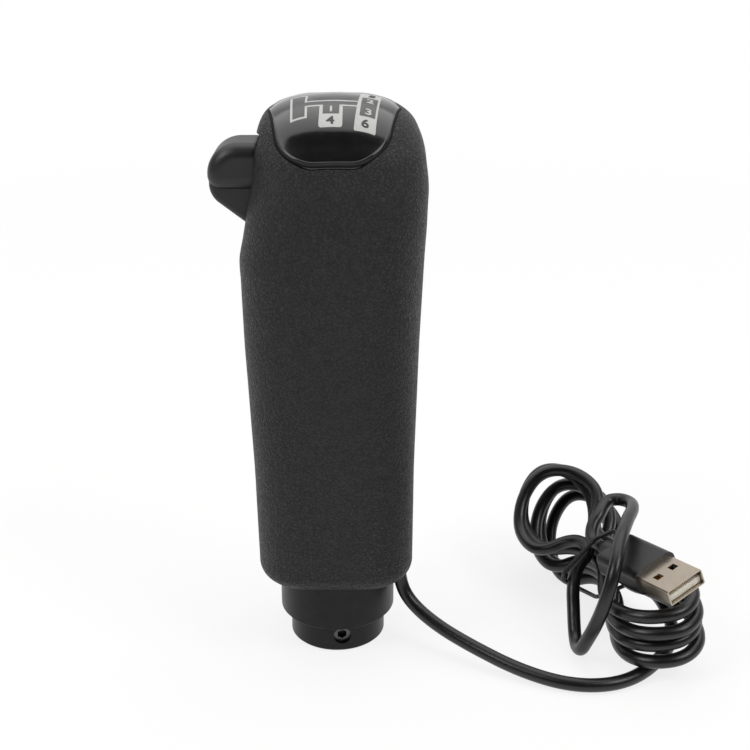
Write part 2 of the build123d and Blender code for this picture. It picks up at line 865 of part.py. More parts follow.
with BuildPart() as cable_hank:
    with BuildLine() as hank_run:
        Line(hank_start, hank_nodes[0][0])
        for (p0, t0), (p1, t1) in zip(hank_nodes, hank_nodes[1:]):
            joint, joint_run = biarc_joint(p0, t0, p1, t1)
            TangentArc(p0, joint, tangent=t0)
            TangentArc(joint, p1, tangent=joint_run)
        Line(plug_entry, relief_end)
    hank_wire = hank_run.wires()[0]
    with BuildSketch(Plane(hank_start, z_dir=start_run)):
        Circle(cable_radius)
    sweep(path=hank_wire)

with BuildPart() as cable_tie:
    tie_centre = hank_point(-tie_back, 0, 0)
    tie_across = hank_point(-tie_back, 1, 0) - tie_centre
    tie_up = hank_point(-tie_back, 0, 1) - tie_centre
    tie_plane = Plane(tie_centre, x_dir=tie_across, z_dir=tie_across.cross(tie_up))
    tie_plane = tie_plane.rotated((tie_lean, 0, 0))
    tie_points = [tie_plane.from_local_coords((b, c, 0)) for b, c in tie_outline]
    with BuildLine() as tie_run:
        FilletPolyline(*tie_points, radius=tie_corner, close=True)
    first_edge = tie_run.edges().filter_by(GeomType.LINE)[0]
    with BuildSketch(Plane(first_edge @ 0, z_dir=first_edge % 0)):
        Circle(tie_radius)
    sweep(path=tie_run.wires()[0])


# Lead from the grommet to the hank: points chosen by hand along the floor
lead_points = [
    (cable_x, cable_y, cable_start),
    (cable_x, cable_y, 19.4),
    (20.6, -8.0, 13.2),
    (28.0, -12.8, 8.4),
    (38.0, -18.6, 5.0),
    (51.0, -27.0, 2.6),
    (64.5, -33.0, 1.95),
    (78.0, -32.0, 1.95),
    (88.8, -23.5, 2.3),
    tuple(hank_start - start_run * 10),
    tuple(hank_start),
]


def route_radii(points):
    """Each arc as large as its two runs allow."""
    radii = []
    for before, at, after in zip(points, points[1:], points[2:]):
        run_in = Vector(*at) - Vector(*before)
        run_out = Vector(*after) - Vector(*at)
        turn = radians(run_in.get_angle(run_out))
        radii.append(0.45 * min(run_in.length, run_out.length) / tan(turn / 2))
    return radii


lead_radii = route_radii(lead_points)
with BuildPart() as cable_lead:
    add(swept_tube(lead_points, lead_radii, cable_radius))


# Plug: overmould with its strain relief, metal shell, tongue and contacts
with BuildPart() as plug_overmould:
    with BuildSketch(plug_plane):
        RectangleRounded(overmould_width, overmould_thickness, overmould_corner)
    extrude(amount=overmould_length)
    fillet(plug_overmould.faces().sort_by(Axis(plug_rear, plug_axis))[0].edges(), overmould_rear_corner)
    with BuildSketch(plug_plane.offset(-relief_length)):
        Circle(cable_radius + relief_wall)
    with BuildSketch(plug_plane.offset(1)):
        Circle(relief_radius)
    loft()

shell_plane = plug_plane.offset(overmould_length)
with BuildPart() as plug_shell:
    with BuildSketch(shell_plane):
        RectangleRounded(shell_width, shell_thickness, shell_corner)
    extrude(amount=shell_length)
    with BuildSketch(shell_plane.offset(shell_wall)):
        Rectangle(shell_width - 2 * shell_wall, shell_thickness - 2 * shell_wall)
    extrude(amount=shell_length, mode=Mode.SUBTRACT)
    top_plane = Plane(shell_plane.origin, x_dir=shell_plane.x_dir, z_dir=shell_plane.y_dir)
    with BuildSketch(top_plane):
        with Locations((-window_spread, -window_back), (window_spread, -window_back)):
            Rectangle(window_size, window_size)
    extrude(amount=shell_thickness, both=True, mode=Mode.SUBTRACT)

tongue_level = -(shell_thickness / 2 - shell_wall) + tongue_thickness / 2 + tongue_gap
with BuildPart() as plug_tongue:
    with BuildSketch(shell_plane.offset(shell_wall)):
        with Locations((0, tongue_level)):
            Rectangle(tongue_width, tongue_thickness)
    extrude(amount=tongue_length)

with BuildPart() as plug_contacts:
    with BuildSketch(shell_plane.offset(shell_wall)):
        with Locations((0, tongue_level + (tongue_thickness + contact_thickness) / 2)):
            with GridLocations(contact_pitch, 0, contact_count, 1):
                Rectangle(contact_width, contact_thickness)
    extrude(amount=tongue_length - contact_setback)


pieces = {
    "shaft_adapter": shaft_adapter,
    "grub_screws": grub_screws,
    "core_left": core_left,
    "core_right": core_right,
    "grip_skin": grip_skin,
    "pattern_cap": pattern_cap,
    "cap_gasket": cap_gasket,
    "splitter_paddle": splitter_paddle,
    "range_flap": range_flap,
    "splitter_pin": splitter_pin,
    "range_pin": range_pin,
    "splitter_switch": splitter_switch,
    "range_switch": range_switch,
    "splitter_plunger": splitter_plunger,
    "range_plunger": range_plunger,
    "switch_frame": switch_frame,
    "frame_screws": frame_screws,
    "board_screws": board_screws,
    "clamp_screws": clamp_screws,
    "usb_board": usb_board,
    "controller_chip": controller_chip,
    "board_connectors": board_connectors,
    "inner_cable": inner_cable,
    "cable_grommet": cable_grommet,
    "switch_wires": switch_wires,
    "cable_lead": cable_lead,
    "cable_hank": cable_hank,
    "cable_tie": cable_tie,
    "plug_overmould": plug_overmould,
    "plug_shell": plug_shell,
    "plug_tongue": plug_tongue,
    "plug_contacts": plug_contacts,
}

os.makedirs("parts", exist_ok=True)
for name, piece in pieces.items():
    piece.part.label = name
    export_step(piece.part, f"parts/{name}.step")

section = pi * cable_radius**2
print("lead radii", [round(r, 1) for r in lead_radii])
lead_line = cable_lead.part.volume / section
print("lead length", round(lead_line, 1), "hank length", round(hank_wire.length, 1))
print("hank volume over section times length", round(cable_hank.part.volume / (section * hank_wire.length), 4))
hank_samples = [hank_wire @ (i / 1200) for i in range(1201)]
spacing = hank_wire.length / 1200
apart = int(pi * 2 * cable_radius * 1.1 / spacing)
least = min(
    (p - q).length
    for i, p in enumerate(hank_samples)
    for q in hank_samples[i + apart:]
)
print("hank least gap to itself", round(least - 2 * cable_radius, 2))
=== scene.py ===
import math

import bmesh
import bpy
import numpy
from mathutils import Matrix, Vector
from mathutils.bvhtree import BVHTree


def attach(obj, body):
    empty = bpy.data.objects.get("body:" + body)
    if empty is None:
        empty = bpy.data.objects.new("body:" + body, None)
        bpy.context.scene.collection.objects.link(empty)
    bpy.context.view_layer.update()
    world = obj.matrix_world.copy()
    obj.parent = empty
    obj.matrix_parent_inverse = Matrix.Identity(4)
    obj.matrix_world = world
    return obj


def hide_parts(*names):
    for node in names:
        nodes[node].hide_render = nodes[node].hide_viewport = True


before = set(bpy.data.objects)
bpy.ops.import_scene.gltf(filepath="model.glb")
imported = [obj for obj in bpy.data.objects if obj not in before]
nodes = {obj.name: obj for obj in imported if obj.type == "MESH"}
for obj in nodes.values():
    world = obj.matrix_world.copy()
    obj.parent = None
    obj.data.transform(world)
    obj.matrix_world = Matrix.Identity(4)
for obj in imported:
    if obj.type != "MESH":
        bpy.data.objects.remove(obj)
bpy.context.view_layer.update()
mm = 0.001


def addObject(name, data):
    piece = bpy.data.objects.new(name, data)
    bpy.context.scene.collection.objects.link(piece)
    return piece


# Camera: stands on the driver's side and looks down on the knob
cameraSettings = {
    "place": (10.9, -316.0, 204.8),  # mm
    "pitchDown": 21.65,  # degrees
    "lens": 60.0,  # mm
    "sensor": 36.0,  # mm
    "nearest": 0.01,  # m, as the next
    "farthest": 20.0,
}


def addCamera(settings):
    data = bpy.data.cameras.new("camera")
    data.lens = settings["lens"]
    data.sensor_width = settings["sensor"]
    data.clip_start = settings["nearest"]
    data.clip_end = settings["farthest"]
    camera = addObject("camera", data)
    camera.location = Vector(settings["place"]) * mm
    camera.rotation_euler = (math.radians(90 - settings["pitchDown"]), 0, 0)
    bpy.context.scene.camera = camera
    bpy.context.scene.view_settings.view_transform = "Standard"


addCamera(cameraSettings)
print("camera is in place")


# Materials. Hex colours are sRGB, and the shaders take linear values.
def hexColour(text):
    channels = [int(text[i:i + 2], 16) / 255 for i in (1, 3, 5)]
    linear = [c / 12.92 if c <= 0.04045 else ((c + 0.055) / 1.055) ** 2.4 for c in channels]
    return (*linear, 1.0)


def addNode(tree, kind, settings=None, links=None):
    node = tree.nodes.new("ShaderNode" + kind)
    for name, value in (settings or {}).items():
        if hasattr(node, name):
            setattr(node, name, value)
        else:
            node.inputs[name].default_value = value
    for name, source in (links or {}).items():
        tree.links.new(source, node.inputs[name])
    return node


def newMaterial(name, **shader):
    material = bpy.data.materials.new(name)
    material.use_nodes = True
    tree = material.node_tree
    principled = tree.nodes["Principled BSDF"]
    for key, value in shader.items():
        principled.inputs[key].default_value = value
    return material, tree, principled


# Colour runs from dark to light with one pattern, roughness with the same or another
def shadeWith(tree, shader, toneSource, dark, light, roughSource, roughness):
    tone = addNode(tree, "ValToRGB", None, {"Fac": toneSource})
    tone.color_ramp.elements[0].color = hexColour(dark)
    tone.color_ramp.elements[1].color = hexColour(light)
    tree.links.new(tone.outputs["Color"], shader.inputs["Base Color"])
    atLow, atHigh = roughness
    dull = addNode(tree, "MapRange", {"To Min": atLow, "To Max": atHigh}, {"Value": roughSource})
    tree.links.new(dull.outputs["Result"], shader.inputs["Roughness"])
    return tone


# Roughness of a surface that varies a little round one value
def aboutEven(roughness):
    spread = 0.05
    return roughness - spread, roughness + spread


def grainedPolyurethane():
    # Soft polyurethane skin moulded with a leather grain, about 1 mm from one cell to the next:
    # dull valleys coloured darker as painted shade, slightly shiny peaks coloured lighter as painted
    # highlight. The grain is drawn deeper than the real one, so that it shows at this size.
    grain = {
        "cell": 0.95 * mm,
        "wander": 0.8 * mm,
        "shift": 1.3 * mm,
        "fine": 0.22 * mm,
        "fineShare": 0.25,
        "depth": 0.80 * mm,
        "slope": (0.01, 0.24),  # from a cell's edge to its flat top
        "paintedShadeAt": 0.15,
        "paintedHighlightAt": 0.85,
        "roughness": (0.60, 0.38),
    }
    material, tree, skin = newMaterial(
        "grainedPolyurethane", **{"IOR": 1.5, "Specular IOR Level": 0.5}
    )
    place = addNode(tree, "TexCoord").outputs["Object"]
    drift = addNode(tree, "TexNoise", {"Scale": 1 / grain["wander"], "Detail": 2.0}, {"Vector": place})
    shift = addNode(tree, "VectorMath", {"operation": "SUBTRACT"}, {0: drift.outputs["Color"]})
    shift.inputs[1].default_value = (0.5, 0.5, 0.5)
    sized = addNode(
        tree, "VectorMath", {"operation": "SCALE", "Scale": grain["shift"]}, {0: shift.outputs[0]}
    )
    bent = addNode(tree, "VectorMath", {"operation": "ADD"}, {0: place, 1: sized.outputs[0]})
    cells = addNode(
        tree, "TexVoronoi",
        {"feature": "DISTANCE_TO_EDGE", "Scale": 1 / grain["cell"], "Randomness": 1.0},
        {"Vector": bent.outputs[0]},
    )
    pebbles = addNode(tree, "ValToRGB", None, {"Fac": cells.outputs["Distance"]})
    pebbles.color_ramp.elements[0].position = grain["slope"][0]
    pebbles.color_ramp.elements[1].position = grain["slope"][1]
    pebbles.color_ramp.interpolation = "EASE"
    fine = addNode(tree, "TexNoise", {"Scale": 1 / grain["fine"], "Detail": 3.0}, {"Vector": place})
    height = addNode(
        tree, "Mix", {"data_type": "FLOAT", "Factor": grain["fineShare"]},
        {"A": pebbles.outputs["Color"], "B": fine.outputs["Fac"]},
    )
    bump = addNode(
        tree, "Bump", {"Strength": 1.0, "Distance": grain["depth"]},
        {"Height": height.outputs["Result"]},
    )
    tree.links.new(bump.outputs["Normal"], skin.inputs["Normal"])
    level = height.outputs["Result"]
    # Painted shade and highlight: the colour runs from dark in the grain's valleys to lighter on its
    # peaks
    tone = shadeWith(tree, skin, level, "#050506", "#1f1f20", level, grain["roughness"])
    tone.color_ramp.elements[0].position = grain["paintedShadeAt"]
    tone.color_ramp.elements[1].position = grain["paintedHighlightAt"]
    return material


def glossAbs():
    # Polished injection-moulded ABS: near black, sharp reflections with a faint waviness
    polish = {"wave": 12 * mm, "depth": 1.2 * mm, "haze": 2.5 * mm, "roughness": (0.12, 0.22)}
    material, tree, cap = newMaterial(
        "glossAbs", **{"IOR": 1.53, "Coat Weight": 0.35, "Coat Roughness": 0.04}
    )
    place = addNode(tree, "TexCoord").outputs["Object"]
    wave = addNode(tree, "TexNoise", {"Scale": 1 / polish["wave"], "Detail": 1.0}, {"Vector": place})
    bump = addNode(
        tree, "Bump", {"Strength": 0.5, "Distance": polish["depth"]}, {"Height": wave.outputs["Fac"]}
    )
    tree.links.new(bump.outputs["Normal"], cap.inputs["Normal"])
    haze = addNode(tree, "TexNoise", {"Scale": 1 / polish["haze"], "Detail": 5.0}, {"Vector": place})
    cloud = haze.outputs["Fac"]
    shadeWith(tree, cap, cloud, "#101011", "#161617", cloud, polish["roughness"])
    return material


def mouldedPlastic(name, dark, light, roughness, grit):
    # Moulded plastic with a spark-eroded texture: even, slightly mottled and satin
    mould = {"depth": 0.03 * mm, "mottle": 6 * mm}
    material, tree, body = newMaterial(name, **{"IOR": 1.5})
    place = addNode(tree, "TexCoord").outputs["Object"]
    grain = addNode(tree, "TexNoise", {"Scale": 1 / (grit * mm), "Detail": 4.0}, {"Vector": place})
    bump = addNode(
        tree, "Bump", {"Strength": 0.35, "Distance": mould["depth"]}, {"Height": grain.outputs["Fac"]}
    )
    tree.links.new(bump.outputs["Normal"], body.inputs["Normal"])
    mottle = addNode(tree, "TexNoise", {"Scale": 1 / mould["mottle"], "Detail": 4.0}, {"Vector": place})
    cloud, spark = mottle.outputs["Fac"], grain.outputs["Fac"]
    shadeWith(tree, body, cloud, dark, light, spark, aboutEven(roughness))
    return material


def anodisedAluminium():
    # Turned aluminium dyed black: metal under a dark oxide, with fine rings from the tool
    turning = {
        "pitch": 0.25 * mm,
        "depth": 0.012 * mm,
        "wear": 3 * mm,
        "roughness": (0.34, 0.46),
        "waveLength": 0.314,  # of a wave texture whose scale is 1
    }
    material, tree, metal = newMaterial(
        "anodisedAluminium", **{"Metallic": 0.75, "Specular IOR Level": 0.5}
    )
    place = addNode(tree, "TexCoord").outputs["Object"]
    rings = addNode(
        tree, "TexWave",
        {
            "wave_type": "BANDS", "bands_direction": "Z",
            "Scale": turning["waveLength"] / turning["pitch"], "Distortion": 0.4, "Detail": 2.0,
        },
        {"Vector": place},
    )
    bump = addNode(
        tree, "Bump", {"Strength": 0.3, "Distance": turning["depth"]}, {"Height": rings.outputs["Fac"]}
    )
    tree.links.new(bump.outputs["Normal"], metal.inputs["Normal"])
    wear = addNode(tree, "TexNoise", {"Scale": 1 / turning["wear"], "Detail": 6.0}, {"Vector": place})
    worn = wear.outputs["Fac"]
    shadeWith(tree, metal, worn, "#1b1b1d", "#2a2a2c", worn, turning["roughness"])
    return material


def metalFinish(name, dark, light, roughness, streak):
    # Plated or rolled metal: streaks along the sheet, 5 times as long as they are wide,
    # break up the reflection
    sheet = {"across": 1 / (streak * mm), "along": 0.2 / (streak * mm), "depth": 0.01 * mm}
    material, tree, metal = newMaterial(name, **{"Metallic": 1.0})
    place = addNode(tree, "TexCoord").outputs["Object"]
    stretch = addNode(
        tree, "Mapping", {"Scale": (sheet["across"], sheet["along"], sheet["across"])}, {"Vector": place}
    )
    brush = addNode(
        tree, "TexNoise", {"Scale": 1.0, "Detail": 4.0}, {"Vector": stretch.outputs["Vector"]}
    )
    streaks = brush.outputs["Fac"]
    shadeWith(tree, metal, streaks, dark, light, streaks, aboutEven(roughness))
    bump = addNode(tree, "Bump", {"Strength": 0.2, "Distance": sheet["depth"]}, {"Height": streaks})
    tree.links.new(bump.outputs["Normal"], metal.inputs["Normal"])
    return material


def extrudedPvc():
    # Cable jacket of soft PVC, extruded: smooth satin black with a slow waviness
    extrusion = {"wave": 2.2 * mm, "depth": 0.05 * mm, "roughness": (0.30, 0.40)}
    material, tree, jacket = newMaterial("extrudedPvc", **{"IOR": 1.53})
    place = addNode(tree, "TexCoord").outputs["Object"]
    noise = addNode(tree, "TexNoise", {"Scale": 1 / extrusion["wave"], "Detail": 3.0}, {"Vector": place})
    wave = noise.outputs["Fac"]
    bump = addNode(tree, "Bump", {"Strength": 0.25, "Distance": extrusion["depth"]}, {"Height": wave})
    tree.links.new(bump.outputs["Normal"], jacket.inputs["Normal"])
    shadeWith(tree, jacket, wave, "#0b0b0c", "#121213", wave, extrusion["roughness"])
    return material


def padPrintInk(name, dark, light, roughness):
    # Pad-printed ink: a thin even film, slightly cloudy, as the pad leaves it
    padTexture = 0.5 * mm
    material, tree, ink = newMaterial(name, **{"IOR": 1.5})
    place = addNode(tree, "TexCoord").outputs["Object"]
    noise = addNode(tree, "TexNoise", {"Scale": 1 / padTexture, "Detail": 4.0}, {"Vector": place})
    cloud = noise.outputs["Fac"]
    shadeWith(tree, ink, cloud, dark, light, cloud, aboutEven(roughness))
    return material


# The values are a finish's name, dark and light colour and roughness, then the width in
# mm of a plastic's grit or a metal's streak
materials = {
    "skin": grainedPolyurethane(),
    "cap": glossAbs(),
    # ABS, textured by its mould: even satin black
    "paddle": mouldedPlastic("satinAbs", "#101011", "#171718", 0.42, 0.25),
    # Glass-filled nylon: matt and nearly black
    "nylon": mouldedPlastic("filledNylon", "#0c0c0d", "#131314", 0.60, 0.35),
    # PBT of the switches: dull, a little greyer
    "switch": mouldedPlastic("blackPbt", "#18181a", "#222224", 0.50, 0.3),
    # Acetal: waxy red
    "plunger": mouldedPlastic("redAcetal", "#a3201a", "#b42a22", 0.35, 0.3),
    # Lacquer on a circuit board: green and half glossy
    "laminate": mouldedPlastic("solderMask", "#12442a", "#1a5635", 0.32, 0.5),
    # Undyed nylon: ivory
    "connector": mouldedPlastic("naturalNylon", "#d9d2c2", "#e6e0d2", 0.45, 0.3),
    "adapter": anodisedAluminium(),
    # Blacked steel: dark grey with a soft metal sheen
    "steel": metalFinish("blackedSteel", "#4a4a4c", "#6a6a6c", 0.35, 0.4),
    # Nickel on a rolled shell: warm grey, its reflections blurred
    "nickel": metalFinish("platedNickel", "#b3a798", "#c2b7a8", 0.30, 1.2),
    # Gold on the plug's contacts
    "gold": metalFinish("contactGold", "#c79a3c", "#e0b85a", 0.25, 0.3),
    "pvc": extrudedPvc(),
    # Wire in a thin soft jacket: dull black
    "tie": mouldedPlastic("coatedWire", "#101011", "#18181a", 0.45, 0.3),
    # Seal strip in the cap's gap: coloured near black and dull as painted shade, so that the gap reads
    # black
    "seal": mouldedPlastic("paintedGapShade", "#020202", "#040404", 0.90, 0.3),
    "silverInk": padPrintInk("silverInk", "#a9a9a6", "#bdbdba", 0.42),
    "greyInk": padPrintInk("greyInk", "#303031", "#3a3a3b", 0.45),
    "darkInk": padPrintInk("darkInk", "#39393a", "#434344", 0.30),
}

nodeFinish = {
    "skin": ("grip_skin",),
    "cap": ("pattern_cap",),
    "paddle": ("splitter_paddle", "range_flap"),
    "nylon": ("core_left", "core_right", "switch_frame", "cap_gasket"),
    "switch": ("splitter_switch", "range_switch", "controller_chip"),
    "plunger": ("splitter_plunger", "range_plunger"),
    "laminate": ("usb_board",),
    "connector": ("board_connectors", "plug_tongue"),
    "adapter": ("shaft_adapter",),
    "steel": (
        "grub_screws", "frame_screws", "board_screws", "clamp_screws", "splitter_pin", "range_pin",
    ),
    "nickel": ("plug_shell",),
    "gold": ("plug_contacts",),
    "pvc": (
        "inner_cable", "cable_grommet", "switch_wires", "cable_lead", "cable_hank", "cable_tie",
        "plug_overmould",
    ),
}
for finish, names in nodeFinish.items():
    for name in names:
        mesh = nodes[name].data
        mesh.materials.clear()
        mesh.materials.append(materials[finish])
        for face in mesh.polygons:
            face.material_index = 0
print("every CAD node has its material")


# Cable: one spline from the grommet through the hank to the plug
cable = {"radius": 1.9, "start": (17.7, -5.8, 25.2), "length": 1107.4}  # mm
hank = {
    "waist": (80.0, 12.0),
    "waistHeight": 14.0,
    "farLift": 9.0,
    "headingAtWaist": 22.0,  # degrees
    "headingRate": 0.35,  # degrees per mm
    "rollNear": 5.0,
    "rollFar": 48.0,
    "nearReach": 43.0,
    "farReach": 32.0,
    "nearHalf": 11.0,
    "farHalf": 12.5,
    "waistHalf": 2.7,
    "turnPitch": 4.5,
    "farPitch": 5.0,
    "turns": 4,
    "middleLayer": 2.4,
    "startBack": 18.0,
    "startAside": 7.4,
    "startLayer": 0.12,
    "startRun": (1, 0.12, 0.06),
    "startStraight": 10.0,
    "oddTurnShorter": 1.5,
    "farSpread": (0, 1.5, -1.5, 2, -2),
    "spreadNarrows": 0.4,
    "climb": 0.03,
}
plug = {
    "front": (92.8, -31.0, 31.5),
    "direction": (0.45, -0.87, 0.16),
    "length": 30.0,
    "relief": 5.0,
}


# A place in the hank is given along it, across a turn and up the stack of turns
def hankPoint(along, across, up):
    rate = math.radians(hank["headingRate"])
    atWaist = math.radians(hank["headingAtWaist"])
    heading = atWaist + rate * along
    x = hank["waist"][0] + (math.cos(heading) - math.cos(atWaist)) / rate
    y = hank["waist"][1] + (math.sin(heading) - math.sin(atWaist)) / rate
    share = (along + hank["nearReach"]) / (hank["nearReach"] + hank["farReach"])
    roll = math.radians(hank["rollNear"] + (hank["rollFar"] - hank["rollNear"]) * share)
    side = across * math.cos(roll) - up * math.sin(roll)
    rise = across * math.sin(roll) + up * math.cos(roll)
    lift = hank["waistHeight"] + hank["farLift"] * max(0, along / hank["farReach"]) ** 2
    return Vector((x + side * math.cos(heading), y + side * math.sin(heading), lift + rise))


# A place in the hank and the cable's direction there
def hankNode(place, run):
    step = 0.05
    before = hankPoint(*[p - step * r for p, r in zip(place, run)])
    after = hankPoint(*[p + step * r for p, r in zip(place, run)])
    return hankPoint(*place), (after - before).normalized()


# One turn: out along one side of the hank, round its far end and back round its near
# end. Its nodes climb to the next layer by their share of the turn.
def turnNodes(turn):
    uneven = hank["farSpread"][turn]
    near = hank["nearReach"] - (hank["oddTurnShorter"] if turn % 2 else 0)
    far = hank["farReach"] + uneven
    half = hank["farHalf"] - hank["spreadNarrows"] * uneven
    nearHalf, waistHalf = hank["nearHalf"], hank["waistHalf"]
    pitch, farPitch, climb = hank["turnPitch"], hank["farPitch"], hank["climb"]
    layer = turn - hank["middleLayer"]
    return [
        hankNode((0, waistHalf, (layer + 0.25) * pitch), (1, 0, climb)),
        hankNode((far - half, half, (layer + 0.38) * farPitch), (1, 0, climb)),
        hankNode((far, 0, (layer + 0.5) * farPitch), (0, -1, climb)),
        hankNode((far - half, -half, (layer + 0.62) * farPitch), (-1, 0, climb)),
        hankNode((0, -waistHalf, (layer + 0.75) * pitch), (-1, 0, climb)),
        hankNode((nearHalf - near, -nearHalf, (layer + 0.88) * pitch), (-1, 0, climb)),
        hankNode((-near, 0, (layer + 1) * pitch), (0, 1, climb)),
        hankNode((nearHalf - near, nearHalf, (layer + 1.12) * pitch), (1, 0, climb)),
    ]


# The last fold drops to the floor, climbs past the plug and loops above the waist.
# None means that the cable runs along the line between the neighbours.
lastFold = [
    ((68.7, -0.6, 15.6), None),
    ((68.0, -8.0, 7.8), None),
    ((67.9, -14.5, 3.6), (0, -1, -0.2)),
    ((69.0, -20.4, 6.4), (0.3, -0.3, 1)),
    ((71.4, -22.6, 14.5), None),
    ((73.6, -23.6, 23.4), None),
    ((75.8, -20.8, 31.0), None),
    ((78.6, -12.4, 35.3), None),
    ((82.2, -2.5, 35.8), None),
    ((85.6, 7.0, 34.8), None),
    ((86.2, 13.0, 33.6), (-0.15, 1, -0.2)),
    ((82.0, 17.4, 32.4), (-1, 0, -0.15)),
    ((77.9, 13.4, 30.8), (-0.4, -0.86, -0.3)),
    ((74.7, 8.7, 27.3), (-0.27, -0.75, -0.6)),
]
# The lead leaves the grip beside the adapter and lies on the floor up to the hank
leadPoints = [
    (17.7, -5.8, 25.2),
    (17.7, -5.8, 19.4),
    (20.6, -8.0, 13.2),
    (28.0, -12.8, 8.4),
    (38.0, -18.6, 5.0),
    (51.0, -27.0, 2.6),
    (64.5, -33.0, 1.95),
    (78.0, -32.0, 1.95),
    (88.8, -23.5, 2.3),
]


def cableNodes():
    straight = 2 * cable["radius"]
    axis = Vector(plug["direction"]).normalized()
    plugRear = Vector(plug["front"]) - axis * plug["length"]
    reliefEnd = plugRear - axis * plug["relief"]
    entry = reliefEnd - axis * straight
    firstLayer = (hank["startLayer"] - hank["middleLayer"]) * hank["turnPitch"]
    start, startRun = hankNode((-hank["startBack"], hank["startAside"], firstLayer), hank["startRun"])
    path = [(start + startRun * straight, startRun)]
    for turn in range(hank["turns"] + 1):
        turnPath = turnNodes(turn)
        path += turnPath[:5] if turn == hank["turns"] else turnPath
    around = [path[-1][0]] + [Vector(point) for point, run in lastFold] + [entry]
    for i, (point, run) in enumerate(lastFold):
        direction = around[i + 2] - around[i] if run is None else Vector(run)
        path.append((Vector(point), direction.normalized()))
    path.append((entry, axis))
    return start, startRun, path, reliefEnd


# Two tangent arcs join neighbouring nodes; their corners steer the spline
def arcCorners(p0, t0, p1, t1):
    chord = p1 - p0
    both = t0 + t1
    k = 2 * (1 - t0.dot(t1))
    nearlyParallel = 1e-6
    if k < nearlyParallel:
        reach = chord.dot(chord) / (4 * chord.dot(t1))
    else:
        reach = (-chord.dot(both) + math.sqrt(chord.dot(both) ** 2 + k * chord.dot(chord))) / k
    return p0 + t0 * reach, p1 - t1 * reach


def cableRoute():
    start, startRun, path, reliefEnd = cableNodes()
    points = [Vector(p) for p in leadPoints] + [start - startRun * hank["startStraight"]]
    for (p0, t0), (p1, t1) in zip(path, path[1:]):
        points += arcCorners(p0, t0, p1, t1)
    points.append(reliefEnd)
    return points


# Fineness of a round cord: round its section and along each span of its spline
cordFineness = {"section": 7, "span": 10}


def roundCord(name, points, radius, material, closed=False):
    curve = bpy.data.curves.new(name, "CURVE")
    curve.dimensions = "3D"
    curve.bevel_depth = radius * mm
    curve.bevel_resolution = cordFineness["section"]
    curve.resolution_u = cordFineness["span"]
    curve.use_fill_caps = not closed
    spline = curve.splines.new("NURBS")
    spline.points.add(len(points) - 1)
    for target, point in zip(spline.points, points):
        target.co = (*(Vector(point) * mm), 1)
    spline.order_u = 3
    spline.use_endpoint_u = not closed
    spline.use_cyclic_u = closed
    curve.materials.append(material)
    return addObject(name, curve)


# Tie round the bundle just before the waist: its corners across and up the stack
tie = {
    "radius": 0.65,
    "back": 3.0,
    "lean": 17.2,  # degrees
    "ease": 2.6,
    "corners": (
        (2.8, -13.7), (5.4, -12.6), (10.8, 0.3), (4.4, 15.6),
        (-1.3, 17.9), (-13.8, 12.7), (-15.2, 9.5), (-7.3, -9.5),
    ),
}


def tieRoute(settings):
    centre = hankPoint(-settings["back"], 0, 0)
    across = (hankPoint(-settings["back"], 1, 0) - centre).normalized()
    up = (hankPoint(-settings["back"], 0, 1) - centre).normalized()
    leaning = Matrix.Rotation(math.radians(settings["lean"]), 3, across) @ up
    corners = [centre + across * b + leaning * c for b, c in settings["corners"]]
    points = []
    for before, corner, after in zip(corners[-1:] + corners[:-1], corners, corners[1:] + corners[:1]):
        for neighbour in (before, corner, after):
            reach = (neighbour - corner).length
            ease = min(settings["ease"], reach / 3)
            points.append(corner.lerp(neighbour, ease / reach) if reach else corner)
    return points


bundleTie = roundCord("bundleTie", tieRoute(tie), tie["radius"], materials["tie"], closed=True)
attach(bundleTie, "body")
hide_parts("cable_tie")

usbCable = roundCord("usbCable", cableRoute(), cable["radius"], materials["pvc"])
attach(usbCable, "body")
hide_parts("cable_lead", "cable_hank")
print("the cable and its tie are laid")


def surfaceOf(mesh):
    return BVHTree.FromPolygons([v.co for v in mesh.vertices], [f.vertices[:] for f in mesh.polygons])


# Where something let down from above at x, y in mm meets the surface
def letDown(surface, x, y):
    spot, normal, face, distance = surface.ray_cast(Vector((x * mm, y * mm, 1)), Vector((0, 0, -1)))
    return spot, normal


def cutAcross(form, axis, places):
    normal = [0, 0, 0]
    normal[axis] = 1
    for place in places:
        spot = [0, 0, 0]
        spot[axis] = place
        every = form.verts[:] + form.edges[:] + form.faces[:]
        bmesh.ops.bisect_plane(form, geom=every, plane_co=spot, plane_no=normal)


skinSurface = surfaceOf(nodes["grip_skin"].data)
cadCapSurface = surfaceOf(nodes["pattern_cap"].data)


# Crown of the cap: the solid ends in a small flat, here one smooth dome runs through it.
# The dome is fitted to rings of points round the flat, on the cap and the skin beside it.
dome = {
    "centre": (0.9, 4.0),  # mm, seen from above
    "inner": 6.2,  # all dome inside this, all solid outside the next
    "outer": 9.5,
    "rings": 5,
    "firstRing": 7.0,
    "ringStep": 0.9,
    "spokes": 36,
    "lowest": 150.0,
    "cell": 1.2,
    "cells": 9,
    "topDepth": 0.3,  # what lies deeper below the surface is left as it is
    "sharpFrom": 28.0,  # degrees
    "weld": 0.001,
}


def heightAt(x, y, surfaces):
    spots = [letDown(surface, x, y)[0] for surface in surfaces]
    return max([spot.z / mm for spot in spots if spot is not None], default=0)


# Terms of the dome's height: a quadratic in the distance from its centre
def domeTerms(x, y):
    x, y = x - dome["centre"][0], y - dome["centre"][1]
    return [1, x, y, x * x, x * y, y * y]


def fitDome():
    rows, heights = [], []
    for ring in range(dome["rings"]):
        for spoke in range(dome["spokes"]):
            reach = dome["firstRing"] + ring * dome["ringStep"]
            angle = 2 * math.pi * spoke / dome["spokes"]
            x = dome["centre"][0] + reach * math.cos(angle)
            y = dome["centre"][1] + reach * math.sin(angle)
            height = heightAt(x, y, (cadCapSurface, skinSurface))
            if height > dome["lowest"]:
                rows.append(domeTerms(x, y))
                heights.append(height)
    return numpy.linalg.lstsq(numpy.array(rows), numpy.array(heights), rcond=None)[0]


